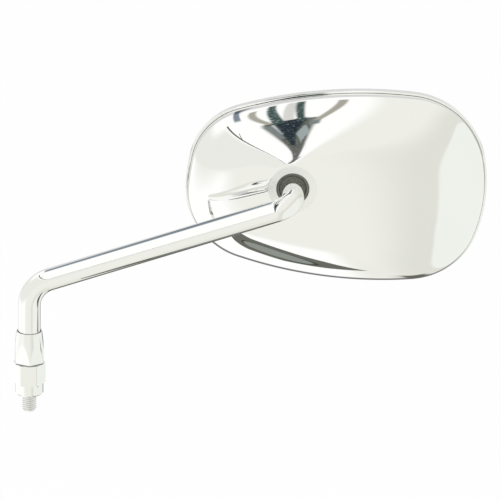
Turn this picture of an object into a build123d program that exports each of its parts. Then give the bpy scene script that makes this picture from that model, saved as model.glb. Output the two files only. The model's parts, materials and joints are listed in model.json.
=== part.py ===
from build123d import *
import os

# Chrome motorcycle mirror on a bent stem. Millimetres, +Z up along the stud.
# The origin is the centre of the adapter's seat, where the stud leaves the collar.
# The stem's long run lies in the XZ plane and the glass faces +Y.

# Stud adapter: threaded stud, round collar, hexagon
STUD_DIAMETER = 8.0
STUD_LENGTH = 10.5
STUD_TIP_CHAMFER = 0.8
COLLAR_DIAMETER = 16.0
COLLAR_HEIGHT = 6.5
COLLAR_CHAMFER = 0.6
ADAPTER_HEX = 16.0
ADAPTER_HEX_HEIGHT = 12.2
HEX_EDGE_CHAMFER = 0.5

# Thread of the stem in the adapter and the lock nut
THREAD_DIAMETER = 10.0
THREAD_GRIP = 12.0
THREAD_END_ROOM = 1.5
THREAD_CLEARANCE = 0.05
THREAD_CHAMFER = 0.8

# Lock nut: tall hexagon, coned from just above its foot, with a counterbore that takes the stem's shoulder
NUT_HEX = 16.0
NUT_HEIGHT = 19.0
NUT_TURN = -25.0
NUT_TOP_DIAMETER = 14.6
NUT_FOOT_HEIGHT = 1.5
COUNTERBORE_DEPTH = 8.0
COUNTERBORE_CLEARANCE = 0.3
SHOULDER_GAP = 0.3

# Stem: post, bend, long run, elbow, end piece into the boss
STEM_DIAMETER = 12.7
POST_HEIGHT = 65.0
POST_BEND_RADIUS = 17.0
RUN_REACH = 147.5
RUN_RISE = 50.5
ELBOW_RADIUS = 11.0
ELBOW_TO_BOSS = 29.0

# Swivel: ball on the stem's end, floating liners, sprung socket inside the boss
BALL_DIAMETER = 18.0
BALL_DEPTH = 6.2
BALL_FRONT_FLAT = 6.0
BALL_BACK_FLAT = 7.0
SPIGOT_DIAMETER = 8.0
SPIGOT_CHAMFER = 0.5
PRESS_CLEARANCE = 0.02
SWIVEL_CLEARANCE = 0.3
LINER_WALL = 1.0
LINER_FRONT = 5.0
LINER_BACK = 8.2
LINER_SPLIT = 2.9
HOUSING_WALL = 1.8
HOUSING_FLANGE_WIDTH = 1.0
HOUSING_FLANGE_THICKNESS = 1.5
EAR_THICKNESS = 4.0
CUP_RIM = 4.5
CUP_BACK_WALL = 1.2
CUP_HOLE_DIAMETER = 8.0
CUP_CLEARANCE = 0.3
DISC_THICKNESS = 1.0
DISC_CONE = 1.1
DISC_BORE_DIAMETER = 8.8
DISC_DIAMETER = 19.2
PLATE_THICKNESS = 1.6
PLATE_HOLE_DIAMETER = 6.0

# Clamp screws that hold the retainer plate on the socket housing
SCREW_COUNT = 3
SCREW_DIAMETER = 4.0
SCREW_CLEARANCE = 0.25
SCREW_CIRCLE_DIAMETER = 34.0
SCREW_TAIL = 1.0
SCREW_HEAD_DIAMETER = 7.6
SCREW_HEAD_HEIGHT = 2.6
SCREW_HEAD_ROUND = 1.2
EAR_RADIUS = 4.4
WASHER_DIAMETER = 7.0
WASHER_THICKNESS = 0.9

# Head outline seen from the stem's side, measured from the swivel axis.
# Inner is the end near the post, outer the far end. Corners are where the bulged sides would meet.
INNER_LOW_X = -61.0
INNER_LOW_Z = -40.3
OUTER_LOW_X = 92.5
OUTER_LOW_Z = -61.4
OUTER_HIGH_X = 96.0
OUTER_HIGH_Z = 44.0
INNER_HIGH_X = -53.0
INNER_HIGH_Z = 31.0
LOW_BULGE = 12.0
OUTER_BULGE = 17.5
HIGH_BULGE = 11.0
INNER_BULGE = 4.0
INNER_LOW_ROUND = 43.0
OUTER_LOW_ROUND = 41.0
OUTER_HIGH_ROUND = 47.5
INNER_HIGH_ROUND = 39.0

# Pressed shell: flat boss, bowed flank that curls over into an upright skirt.
# Spread runs from 0 at the boss to 1 at the skirt, depth goes back from the boss face.
# The flank leaves the boss in a shallow slope, and the turn is where it curls over.
# The bow positions are the shares of the flank's length at which its sections stand.
SHELL_WALL = 1.0
BOSS_RADIUS = 14.5
HOLE_RADIUS = 9.3
SLOPE_SPREAD = 0.39
SLOPE_DEPTH = 2.75
TURN_SPREAD = 0.78
TURN_DEPTH = 5.2
UPRIGHT_DEPTH = 19.5
BOW_POSITIONS = (0, 0.06, 0.15, 0.31, 0.58, 1)
SKIRT_HEIGHT = 2.5
HEAD_DEPTH = 37.0

# Bezel, gasket and glass at the rim
BEZEL_WALL = 1.2
BEZEL_DEPTH = 6.0
BEZEL_ROUND = 1.6
BEZEL_BACK_ROUND = 0.5
BEZEL_CLEARANCE = 0.1
LIP_THICKNESS = 1.0
LIP_WIDTH = 4.0
GASKET_SEAT = 3.5
GASKET_WIDTH = 5.2
GLASS_THICKNESS = 2.0
GLASS_RADIUS = 1400.0
GLASS_EDGE_GAP = 0.3
GLASS_CROWN_GAP = 0.6
PAD_DIAMETER = 18.0

# Heights along the stud axis
HEX_BOTTOM = COLLAR_HEIGHT
NUT_BOTTOM = HEX_BOTTOM + ADAPTER_HEX_HEIGHT
NUT_TOP = NUT_BOTTOM + NUT_HEIGHT
COUNTERBORE_FLOOR = NUT_TOP - COUNTERBORE_DEPTH
STEM_SHOULDER = COUNTERBORE_FLOOR + SHOULDER_GAP
THREAD_END = NUT_BOTTOM - THREAD_GRIP

# Head frame: origin at the middle of the boss face, x along +X, y up, z back towards the elbow
BOSS_CENTRE = (RUN_REACH, ELBOW_TO_BOSS, POST_HEIGHT + RUN_RISE)
HEAD = Plane(origin=BOSS_CENTRE, x_dir=(1, 0, 0), z_dir=(0, -1, 0))
BALL = HEAD * Pos(0, 0, -BALL_DEPTH)

# Radii about the ball's centre
BALL_RADIUS = BALL_DIAMETER / 2
LINER_INNER = BALL_RADIUS + SWIVEL_CLEARANCE
LINER_OUTER = LINER_INNER + LINER_WALL
SEAT_RADIUS = LINER_OUTER + SWIVEL_CLEARANCE
HOUSING_RADIUS = SEAT_RADIUS + HOUSING_WALL

# Heights in the ball's frame, positive towards the stem
BOSS_INNER_FACE = BALL_DEPTH - SHELL_WALL
CUP_BACK = -(SEAT_RADIUS + CUP_BACK_WALL)
PLATE_FRONT = CUP_BACK - 2 * (DISC_THICKNESS + DISC_CONE)
PLATE_BACK = PLATE_FRONT - PLATE_THICKNESS
SCREW_SEAT = PLATE_BACK - WASHER_THICKNESS
SCREW_TIP = PLATE_FRONT + EAR_THICKNESS + SCREW_TAIL

# Insets from the outline and depths behind the boss face, at the rim
SKIRT_INSET = BEZEL_WALL + BEZEL_CLEARANCE
SKIRT_INNER_INSET = SKIRT_INSET + SHELL_WALL
GLASS_INSET = SKIRT_INNER_INSET + GLASS_EDGE_GAP
LIP_INNER_DEPTH = HEAD_DEPTH - LIP_THICKNESS
SKIRT_DEPTH = LIP_INNER_DEPTH - GASKET_SEAT
SHOULDER_END_DEPTH = SKIRT_DEPTH - SKIRT_HEIGHT
GLASS_FRONT_DEPTH = HEAD_DEPTH - GLASS_CROWN_GAP


def turned(*corners):
    """Solid of revolution about Z from (radius, height) corners."""
    profile = Polyline(*[(radius, 0, height) for radius, height in corners], close=True)
    return revolve(make_face(profile), Axis.Z)


def rod(diameter, low, high):
    """Round bar on the Z axis between two heights."""
    return Pos(0, 0, low) * extrude(Circle(diameter / 2), high - low)


def hexagon(across_flats, low, high):
    """Hexagonal bar on the Z axis, one flat facing -Y."""
    return Pos(0, 0, low) * extrude(RegularPolygon(across_flats / 2, 6, major_radius=False), high - low)


def sphere_zone(inner, outer, low, high):
    """Band of a hollow ball between two heights."""
    return (Sphere(outer) - Sphere(inner)) & rod(4 * outer, low, high)


def make_stud_adapter():
    corner_radius = ADAPTER_HEX / 3 ** 0.5
    envelope = turned(
        (0, HEX_BOTTOM),
        (corner_radius - HEX_EDGE_CHAMFER, HEX_BOTTOM),
        (corner_radius, HEX_BOTTOM + HEX_EDGE_CHAMFER),
        (corner_radius, NUT_BOTTOM - HEX_EDGE_CHAMFER),
        (corner_radius - HEX_EDGE_CHAMFER, NUT_BOTTOM),
        (0, NUT_BOTTOM),
    )
    stud_radius = STUD_DIAMETER / 2
    collar_radius = COLLAR_DIAMETER / 2
    turned_end = turned(
        (0, -STUD_LENGTH),
        (stud_radius - STUD_TIP_CHAMFER, -STUD_LENGTH),
        (stud_radius, STUD_TIP_CHAMFER - STUD_LENGTH),
        (stud_radius, 0),
        (collar_radius - COLLAR_CHAMFER, 0),
        (collar_radius, COLLAR_CHAMFER),
        (collar_radius, HEX_BOTTOM),
        (0, HEX_BOTTOM),
    )
    bore = rod(THREAD_DIAMETER + 2 * THREAD_CLEARANCE, THREAD_END - THREAD_END_ROOM, NUT_BOTTOM)
    return turned_end + (hexagon(ADAPTER_HEX, HEX_BOTTOM, NUT_BOTTOM) & envelope) - bore


def make_lock_nut():
    corner_radius = NUT_HEX / 3 ** 0.5
    envelope = turned(
        (0, NUT_BOTTOM),
        (corner_radius - HEX_EDGE_CHAMFER, NUT_BOTTOM),
        (corner_radius, NUT_BOTTOM + HEX_EDGE_CHAMFER),
        (corner_radius, NUT_BOTTOM + NUT_FOOT_HEIGHT),
        (NUT_TOP_DIAMETER / 2, NUT_TOP),
        (0, NUT_TOP),
    )
    bore = rod(THREAD_DIAMETER + 2 * THREAD_CLEARANCE, NUT_BOTTOM, NUT_TOP)
    counterbore = rod(STEM_DIAMETER + 2 * COUNTERBORE_CLEARANCE, COUNTERBORE_FLOOR, NUT_TOP)
    blank = hexagon(NUT_HEX, NUT_BOTTOM, NUT_TOP) & envelope
    return Rot(0, 0, NUT_TURN) * (blank - bore - counterbore)


def make_stem():
    elbow_height = POST_HEIGHT + RUN_RISE
    path = FilletPolyline(
        (0, 0, STEM_SHOULDER),
        (0, 0, POST_HEIGHT),
        (RUN_REACH, 0, elbow_height),
        (RUN_REACH, ELBOW_TO_BOSS + BALL_DEPTH - BALL_FRONT_FLAT, elbow_height),
        radius=[POST_BEND_RADIUS, ELBOW_RADIUS],
    )
    bar = sweep(Pos(0, 0, STEM_SHOULDER) * Circle(STEM_DIAMETER / 2), path=path)
    thread_radius = THREAD_DIAMETER / 2
    thread = turned(
        (0, THREAD_END),
        (thread_radius - THREAD_CHAMFER, THREAD_END),
        (thread_radius, THREAD_END + THREAD_CHAMFER),
        (thread_radius, STEM_SHOULDER),
        (0, STEM_SHOULDER),
    )
    spigot_radius = SPIGOT_DIAMETER / 2
    spigot = turned(
        (0, -BALL_BACK_FLAT),
        (spigot_radius - SPIGOT_CHAMFER, -BALL_BACK_FLAT),
        (spigot_radius, SPIGOT_CHAMFER - BALL_BACK_FLAT),
        (spigot_radius, BALL_FRONT_FLAT),
        (0, BALL_FRONT_FLAT),
    )
    return bar + thread + BALL * spigot


def make_swivel_ball():
    ball = Sphere(BALL_RADIUS) & rod(2 * BALL_DIAMETER, -BALL_BACK_FLAT, BALL_FRONT_FLAT)
    return ball - rod(SPIGOT_DIAMETER + 2 * PRESS_CLEARANCE, -BALL_BACK_FLAT, BALL_FRONT_FLAT)


def make_front_liner():
    return sphere_zone(LINER_INNER, LINER_OUTER, LINER_SPLIT / 2, LINER_FRONT)


def make_rear_liner():
    return sphere_zone(LINER_INNER, LINER_OUTER, -LINER_BACK, -LINER_SPLIT / 2)


def ear_plate(low, high):
    """Three-eared plate, a triangle through the screw axes with round corners."""
    triangle = RegularPolygon(SCREW_CIRCLE_DIAMETER / 2, SCREW_COUNT, rotation=90)
    return Pos(0, 0, low) * extrude(offset(triangle, EAR_RADIUS), high - low)


def on_screws(piece):
    """One copy of a piece at each screw axis."""
    places = PolarLocations(SCREW_CIRCLE_DIAMETER / 2, SCREW_COUNT, start_angle=90)
    return [place * piece for place in places]


def make_socket_housing():
    barrel = rod(2 * HOUSING_RADIUS, PLATE_FRONT, BOSS_INNER_FACE)
    flange = rod(
        2 * (HOUSING_RADIUS + HOUSING_FLANGE_WIDTH),
        BOSS_INNER_FACE - HOUSING_FLANGE_THICKNESS,
        BOSS_INNER_FACE,
    )
    ears = ear_plate(PLATE_FRONT, PLATE_FRONT + EAR_THICKNESS)
    housing = barrel + flange + ears
    housing = housing - Sphere(SEAT_RADIUS) - rod(2 * SEAT_RADIUS, PLATE_FRONT, 0)
    tapped_hole = rod(SCREW_DIAMETER + 2 * THREAD_CLEARANCE, PLATE_FRONT, PLATE_FRONT + EAR_THICKNESS)
    return housing - on_screws(tapped_hole)


def make_pressure_cup():
    cup = rod(2 * (SEAT_RADIUS - CUP_CLEARANCE), CUP_BACK, -CUP_RIM)
    return cup - Sphere(SEAT_RADIUS) - rod(CUP_HOLE_DIAMETER, CUP_BACK, 0)


def make_disc_springs():
    bore = DISC_BORE_DIAMETER / 2
    edge = DISC_DIAMETER / 2
    front = turned(
        (bore, CUP_BACK),
        (edge, CUP_BACK - DISC_CONE),
        (edge, CUP_BACK - DISC_CONE - DISC_THICKNESS),
        (bore, CUP_BACK - DISC_THICKNESS),
    )
    back = turned(
        (bore, PLATE_FRONT),
        (edge, PLATE_FRONT + DISC_CONE),
        (edge, PLATE_FRONT + DISC_CONE + DISC_THICKNESS),
        (bore, PLATE_FRONT + DISC_THICKNESS),
    )
    return Compound(children=[front, back])


def make_retainer_plate():
    plate = ear_plate(PLATE_BACK, PLATE_FRONT)
    screw_hole = rod(SCREW_DIAMETER + 2 * SCREW_CLEARANCE, PLATE_BACK, PLATE_FRONT)
    return plate - rod(PLATE_HOLE_DIAMETER, PLATE_BACK, PLATE_FRONT) - on_screws(screw_hole)


def make_clamp_screws():
    head_end = SCREW_SEAT - SCREW_HEAD_HEIGHT
    head = rod(SCREW_HEAD_DIAMETER, head_end, SCREW_SEAT)
    head = fillet(head.edges().sort_by(Axis.Z)[0], SCREW_HEAD_ROUND)
    screw = head + rod(SCREW_DIAMETER, SCREW_SEAT, SCREW_TIP)
    return Compound(children=on_screws(screw))


def make_screw_washers():
    washer = rod(WASHER_DIAMETER, SCREW_SEAT, PLATE_BACK)
    washer = washer - rod(SCREW_DIAMETER + 2 * SCREW_CLEARANCE, SCREW_SEAT, PLATE_BACK)
    return Compound(children=on_screws(washer))


def bulged_side(start, end, bulge):
    """Side arc between two sharp corners, counter-clockwise, bulging outwards."""
    along = (end - start).normalized()
    outward = Vector(along.Y, -along.X)
    return ThreePointArc(start, (start + end) / 2 + outward * bulge, end)


def head_outline():
    """Outer edge of the bezel: four bulged sides with a round of its own at each corner."""
    inner_low = Vector(INNER_LOW_X, INNER_LOW_Z)
    outer_low = Vector(OUTER_LOW_X, OUTER_LOW_Z)
    outer_high = Vector(OUTER_HIGH_X, OUTER_HIGH_Z)
    inner_high = Vector(INNER_HIGH_X, INNER_HIGH_Z)
    outline = make_face(
        [
            bulged_side(inner_low, outer_low, LOW_BULGE),
            bulged_side(outer_low, outer_high, OUTER_BULGE),
            bulged_side(outer_high, inner_high, HIGH_BULGE),
            bulged_side(inner_high, inner_low, INNER_BULGE),
        ]
    )
    rounds = [
        (inner_low, INNER_LOW_ROUND),
        (outer_low, OUTER_LOW_ROUND),
        (outer_high, OUTER_HIGH_ROUND),
        (inner_high, INNER_HIGH_ROUND),
    ]
    for corner, radius in rounds:
        outline = fillet(outline.vertices().sort_by_distance(corner)[0], radius)
    return outline


OUTLINE = head_outline()


def spread_section(inset, boss_radius, spread, depth):
    """Outline between the boss circle (spread 0) and the inset rim (spread 1), arc by arc."""
    arcs = []
    for arc in OUTLINE.face().outer_wire().order_edges():
        points = []
        for position in (0, 0.5, 1):
            outward = (arc @ position - arc.arc_center).normalized()
            boss_point = outward * boss_radius
            rim_point = arc @ position - outward * inset
            flat_point = boss_point + (rim_point - boss_point) * spread
            points.append((flat_point.X, flat_point.Y, -depth))
        arcs.append(ThreePointArc(*points))
    return Face(Wire(arcs))


def rim_slab(inset, front_depth, back_depth):
    """Slab of the outline, inset all round, between two depths behind the boss face."""
    section = spread_section(inset, BOSS_RADIUS, 1, back_depth)
    return extrude(section, back_depth - front_depth, dir=(0, 0, 1))


def dome(inset, boss_radius, boss_depth):
    """Solid under one face of the shell: bowed flank from the boss to the skirt."""
    bow = Bezier(
        (0, boss_depth),
        (SLOPE_SPREAD, boss_depth + SLOPE_DEPTH),
        (TURN_SPREAD, boss_depth + TURN_DEPTH),
        (1, boss_depth + UPRIGHT_DEPTH),
        (1, boss_depth + SHOULDER_END_DEPTH),
    )
    steps = [bow @ position for position in BOW_POSITIONS]
    sections = [spread_section(inset, boss_radius, step.X, step.Y) for step in steps]
    return loft(sections) + extrude(sections[-1], SKIRT_HEIGHT, dir=(0, 0, -1))


def make_shell():
    outer = dome(SKIRT_INSET, BOSS_RADIUS, 0)
    inner = dome(SKIRT_INNER_INSET, BOSS_RADIUS - SHELL_WALL / 2, SHELL_WALL)
    return outer - inner - rod(2 * HOLE_RADIUS, -2 * SHELL_WALL, SHELL_WALL)


def make_bezel():
    back_edge_depth = HEAD_DEPTH - BEZEL_DEPTH
    ring = rim_slab(0, back_edge_depth, HEAD_DEPTH)
    ring = fillet(ring.faces().sort_by(Axis.Z)[0].edges(), BEZEL_ROUND)
    ring = fillet(ring.faces().sort_by(Axis.Z)[-1].edges(), BEZEL_BACK_ROUND)
    pocket = rim_slab(BEZEL_WALL, back_edge_depth, LIP_INNER_DEPTH)
    return ring - pocket - rim_slab(LIP_WIDTH, LIP_INNER_DEPTH, HEAD_DEPTH)


def glass_lens():
    """Round convex lens blank, wider than the head, on the middle of the outline."""
    reach = max(OUTLINE.bounding_box().size.X, OUTLINE.bounding_box().size.Y)
    back_radius = GLASS_RADIUS - GLASS_THICKNESS
    front_drop = GLASS_RADIUS - (GLASS_RADIUS ** 2 - reach ** 2) ** 0.5
    back_drop = back_radius - (back_radius ** 2 - reach ** 2) ** 0.5
    middle = reach / 2
    front_middle = GLASS_RADIUS - (GLASS_RADIUS ** 2 - middle ** 2) ** 0.5
    back_middle = back_radius - (back_radius ** 2 - middle ** 2) ** 0.5
    profile = [
        ThreePointArc((0, 0, 0), (middle, 0, front_middle), (reach, 0, front_drop)),
        Line((reach, 0, front_drop), (reach, 0, GLASS_THICKNESS + back_drop)),
        ThreePointArc(
            (reach, 0, GLASS_THICKNESS + back_drop),
            (middle, 0, GLASS_THICKNESS + back_middle),
            (0, 0, GLASS_THICKNESS),
        ),
        Line((0, 0, GLASS_THICKNESS), (0, 0, 0)),
    ]
    centre = OUTLINE.bounding_box().center()
    return Pos(centre.X, centre.Y, -GLASS_FRONT_DEPTH) * revolve(make_face(profile), Axis.Z)


def make_glass():
    return glass_lens() & rim_slab(GLASS_INSET, 0, HEAD_DEPTH)


def make_gasket():
    seat = rim_slab(SKIRT_INSET, SKIRT_DEPTH, LIP_INNER_DEPTH)
    leg = rim_slab(SKIRT_INNER_INSET + BEZEL_CLEARANCE, SHOULDER_END_DEPTH + SHELL_WALL, SKIRT_DEPTH)
    window = rim_slab(GASKET_WIDTH, 0, HEAD_DEPTH)
    return seat + leg - window - make_glass()


def make_foam_pad():
    pad = rod(PAD_DIAMETER, -HEAD_DEPTH, PLATE_BACK - BALL_DEPTH)
    room_behind_glass = glass_lens() + rim_slab(0, GLASS_FRONT_DEPTH, 2 * HEAD_DEPTH)
    return (pad - room_behind_glass).solids().sort_by(Axis.Z)[-1]


pieces = {
    "stud_adapter": make_stud_adapter(),
    "lock_nut": make_lock_nut(),
    "stem": make_stem(),
    "swivel_ball": BALL * make_swivel_ball(),
    "front_liner": BALL * make_front_liner(),
    "rear_liner": BALL * make_rear_liner(),
    "socket_housing": BALL * make_socket_housing(),
    "pressure_cup": BALL * make_pressure_cup(),
    "disc_springs": BALL * make_disc_springs(),
    "retainer_plate": BALL * make_retainer_plate(),
    "clamp_screws": BALL * make_clamp_screws(),
    "screw_washers": BALL * make_screw_washers(),
    "shell": HEAD * make_shell(),
    "bezel": HEAD * make_bezel(),
    "gasket": HEAD * make_gasket(),
    "glass": HEAD * make_glass(),
    "foam_pad": HEAD * make_foam_pad(),
}

os.makedirs("parts", exist_ok=True)
for name, piece in pieces.items():
    export_step(piece, f"parts/{name}.step")
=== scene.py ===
import json
import math

import bmesh
import bpy
from mathutils import Matrix, Vector
from mathutils.geometry import intersect_sphere_sphere_2d


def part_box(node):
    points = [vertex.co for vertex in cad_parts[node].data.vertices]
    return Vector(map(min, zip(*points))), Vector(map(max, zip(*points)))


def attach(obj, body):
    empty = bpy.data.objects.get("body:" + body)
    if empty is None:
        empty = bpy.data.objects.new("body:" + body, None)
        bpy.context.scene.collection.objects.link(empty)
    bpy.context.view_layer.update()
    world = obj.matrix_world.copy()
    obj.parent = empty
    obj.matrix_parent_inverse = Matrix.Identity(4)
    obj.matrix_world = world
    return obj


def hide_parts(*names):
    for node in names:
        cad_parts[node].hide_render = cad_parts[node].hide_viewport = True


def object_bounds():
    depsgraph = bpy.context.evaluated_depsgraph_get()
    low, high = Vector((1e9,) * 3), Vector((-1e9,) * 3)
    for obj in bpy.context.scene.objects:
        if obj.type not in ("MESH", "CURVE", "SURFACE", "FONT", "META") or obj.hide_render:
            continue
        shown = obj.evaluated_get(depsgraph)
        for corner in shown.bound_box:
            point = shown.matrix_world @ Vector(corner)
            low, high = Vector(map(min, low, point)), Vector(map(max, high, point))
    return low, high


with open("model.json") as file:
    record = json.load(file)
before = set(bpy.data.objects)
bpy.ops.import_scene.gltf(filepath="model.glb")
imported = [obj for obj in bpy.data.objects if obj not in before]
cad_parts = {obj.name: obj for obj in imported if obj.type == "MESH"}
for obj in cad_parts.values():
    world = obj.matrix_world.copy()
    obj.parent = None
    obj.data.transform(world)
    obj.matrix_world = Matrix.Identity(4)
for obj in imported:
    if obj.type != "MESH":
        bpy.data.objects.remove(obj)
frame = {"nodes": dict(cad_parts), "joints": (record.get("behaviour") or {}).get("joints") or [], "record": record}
CAD_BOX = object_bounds()

# Lengths are millimetres, as in the part's source, until a mesh is made
MM = 0.001
BODIES = {node: body for body, nodes in frame["record"]["behaviour"]["bodies"].items() for node in nodes}
SLOTS = {row["node"]: row["material_slot"] for row in frame["record"]["subparts"]}
JOINTS = {joint["name"]: joint for joint in frame["joints"]}


def corners(node):
    """Lowest and highest corner of a node, in millimetres."""
    low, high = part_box(node)
    return low / MM, high / MM


# Places read from the frame
BALL_CENTRE = Vector(JOINTS["head_roll"]["pos_m"]) / MM
BOSS_Y = corners("shell")[0].y
HEAD_DEPTH = corners("bezel")[1].y - BOSS_Y
BEZEL_BACK_DEPTH = corners("bezel")[0].y - BOSS_Y
SKIRT_DEPTH = corners("shell")[1].y - BOSS_Y
NUT_BOTTOM = corners("lock_nut")[0].z
NUT_TOP = corners("lock_nut")[1].z
STUD_TIP = corners("stud_adapter")[0].z
STEM_THREAD_END = corners("stem")[0].z
STEM_RADIUS = -corners("stem")[0].x
SPIGOT_END = corners("stem")[1].y

# Head outline: corner x and z from the swivel axis, the corner's round, the bulge of the side after it
OUTLINE = [
    (-61.0, -40.3, 43.0, 12.0),
    (92.5, -61.4, 41.0, 17.5),
    (96.0, 44.0, 47.5, 11.0),
    (-53.0, 31.0, 39.0, 4.0),
]
OUTLINE_STEPS = 480

# Shell
SHELL_WALL = 1.0
BOSS_RADIUS = 14.5
BOSS_ROUND = 1.2
HOLE_RADIUS = 9.3
HOLE_EDGE = 0.25
# Section of the dish as spread from boss to rim and depth: points that steer its curve
DISH_SECTION = [(0.0, 0.0), (0.39, 2.75), (0.78, 5.2), (1.0, 19.5), (1.0, 30.0)]
DISH_STEPS = 56
BOSS_STEPS = 4
BOSS_ROUND_STEPS = 8
BOSS_ROUND_SHARE = 0.02
SKIRT_INSET = 1.3
SKIRT_INNER_INSET = SKIRT_INSET + SHELL_WALL

# Bezel and glass
BEZEL_WALL = 1.2
BEZEL_ROUND = 1.6
BEZEL_BACK_ROUND = 0.5
# The ring is this much slimmer than its solid, to stay inside the solid's box
BEZEL_TRIM = 0.03
LIP_THICKNESS = 1.0
LIP_WIDTH = 4.0
LIP_EDGE = 0.3
GLASS_INSET = 2.6
GLASS_RADIUS = 1400.0
GLASS_THICKNESS = 2.0
GLASS_CROWN_GAP = 0.6
GLASS_EDGE = 0.2
# Rings of the glass as shares of the way from its middle to its edge
GLASS_RINGS = [0.02, 0.1, 0.2, 0.35, 0.5, 0.65, 0.8, 0.92]

# Stem
POST_HEIGHT = 65.0
STEM_SHOULDER = 30.0
POST_BEND_RADIUS = 17.0
ELBOW_RADIUS = 11.0
BEND_STEPS = 48
STEM_SIDES = 112
FLARE_LENGTH = 2.5
FLARE_RISE = 0.33
FLARE_STEPS = 6
BALL_FRONT_FLAT = 6.0
BALL_BACK_FLAT = 7.0
BALL_RADIUS = 9.0
BALL_STEPS = 40
# The ball takes every fourth of the outline's angles
BALL_ANGLE_STRIDE = 4
SPIGOT_RADIUS = 4.0
SPIGOT_CLEARANCE = 0.02
EDGE = 0.3

# Threads and hexagons
STUD_RADIUS = 4.0
STEM_THREAD_RADIUS = 5.0
THREAD_PITCH = 1.25
THREAD_DEPTH = 0.75
THREAD_ROWS = 12
# The ridge as shares of half a pitch: where its flank ends at the root, and the flank's length
FLANK_END = 0.75
FLANK_LENGTH = 0.625
THREAD_RUNOUT = 0.8
THREAD_CHAMFER = 0.8
THREAD_BORE = 5.05
HEX_FLAT = 8.0
HEX_CORNER = HEX_FLAT / math.cos(math.radians(30))
HEX_CORNER_ROUND = 0.4
HEX_CHAMFER = 0.5
HEX_FLAT_STEPS = 10
# Angles in degrees from a hexagon's corner to the points of its round, on one side
HEX_ROUND_ANGLES = [0.45, 0.9, 1.26, 1.7]
COLLAR_RADIUS = 8.0
COLLAR_HEIGHT = 6.5
COLLAR_CHAMFER = 0.6
ADAPTER_BORE_END = 5.2
NUT_TURN = math.radians(-25)
NUT_CONE_HEIGHT = 17.5
NUT_TOP_RADIUS = 7.3
NUT_EDGE_SHARE = 0.04
COUNTERBORE_RADIUS = 6.65
COUNTERBORE_FLOOR = 29.7

# Faces that meet at more than this angle keep a crisp edge
SHARP_ANGLE = math.radians(28)


def direction(angle):
    return Vector((math.cos(angle), math.sin(angle)))


def angle_of(vector):
    return math.atan2(vector.y, vector.x)


def curve_point(steering, t):
    """Point of the Bezier curve with these steering points."""
    points = [Vector(point) for point in steering]
    while len(points) > 1:
        points = [first.lerp(second, t) for first, second in zip(points, points[1:])]
    return points[0]


def quarter(centre, radius, start, end, steps):
    """Points of an arc in a section, angles in degrees."""
    turns = [math.radians(start + (end - start) * step / steps) for step in range(steps + 1)]
    return [centre + direction(turn) * radius for turn in turns]


def piece_from_rings(name, rings, joined=False):
    """Closed mesh through rings of equally many points. The end rings are capped, or joined to each other."""
    count = len(rings[0])
    points = [point * MM for ring in rings for point in ring]
    pairs = [(row, row + 1) for row in range(len(rings) - 1)]
    faces = []
    if joined:
        pairs.append((len(rings) - 1, 0))
    else:
        faces.append(tuple(range(count)))
        faces.append(tuple(range(len(points) - count, len(points))))
    for low, high in pairs:
        for here in range(count):
            after = (here + 1) % count
            faces.append((low * count + here, low * count + after, high * count + after, high * count + here))
    mesh = bpy.data.meshes.new(name)
    mesh.from_pydata(points, [], faces)
    surface = bmesh.new()
    surface.from_mesh(mesh)
    bmesh.ops.remove_doubles(surface, verts=surface.verts, dist=1e-7)
    bmesh.ops.recalc_face_normals(surface, faces=surface.faces)
    surface.to_mesh(mesh)
    surface.free()
    mesh.shade_smooth()
    mesh.set_sharp_from_angle(angle=SHARP_ANGLE)
    piece = bpy.data.objects.new(name, mesh)
    bpy.context.scene.collection.objects.link(piece)
    return piece


# Head outline as arcs, each with the normal angle at which it starts
def side_circle(start, end, bulge):
    along = (end - start).normalized()
    outward = Vector((along.y, -along.x))
    radius = ((end - start).length_squared / 4 + bulge ** 2) / (2 * bulge)
    return (start + end) / 2 + outward * (bulge - radius), radius


def outline_arcs():
    places = [Vector(row[:2]) for row in OUTLINE]
    sides = [side_circle(places[i], places[(i + 1) % len(places)], row[3]) for i, row in enumerate(OUTLINE)]
    arcs = []
    for i, place in enumerate(places):
        before_centre, before_radius = sides[i - 1]
        after_centre, after_radius = sides[i]
        corner_round = OUTLINE[i][2]
        options = intersect_sphere_sphere_2d(
            before_centre, before_radius - corner_round, after_centre, after_radius - corner_round
        )
        centre = min(options, key=lambda option: (option - place).length)
        arcs.append((centre, corner_round, angle_of(centre - before_centre)))
        arcs.append((after_centre, after_radius, angle_of(centre - after_centre)))
    return arcs


RIM_ARCS = outline_arcs()
PHIS = [math.tau * step / OUTLINE_STEPS for step in range(OUTLINE_STEPS)]


def rim_point(phi, inset):
    """Point of the outline whose outward normal has this angle, moved inwards."""
    centre, radius, _ = min(RIM_ARCS, key=lambda arc: (phi - arc[2]) % math.tau)
    return centre + direction(phi) * (radius - inset)


def head_point(flat, depth):
    """Point of the head from its place across the boss face and its depth behind it."""
    return Vector((BALL_CENTRE.x + flat.x, BOSS_Y + depth, BALL_CENTRE.z + flat.y))


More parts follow.
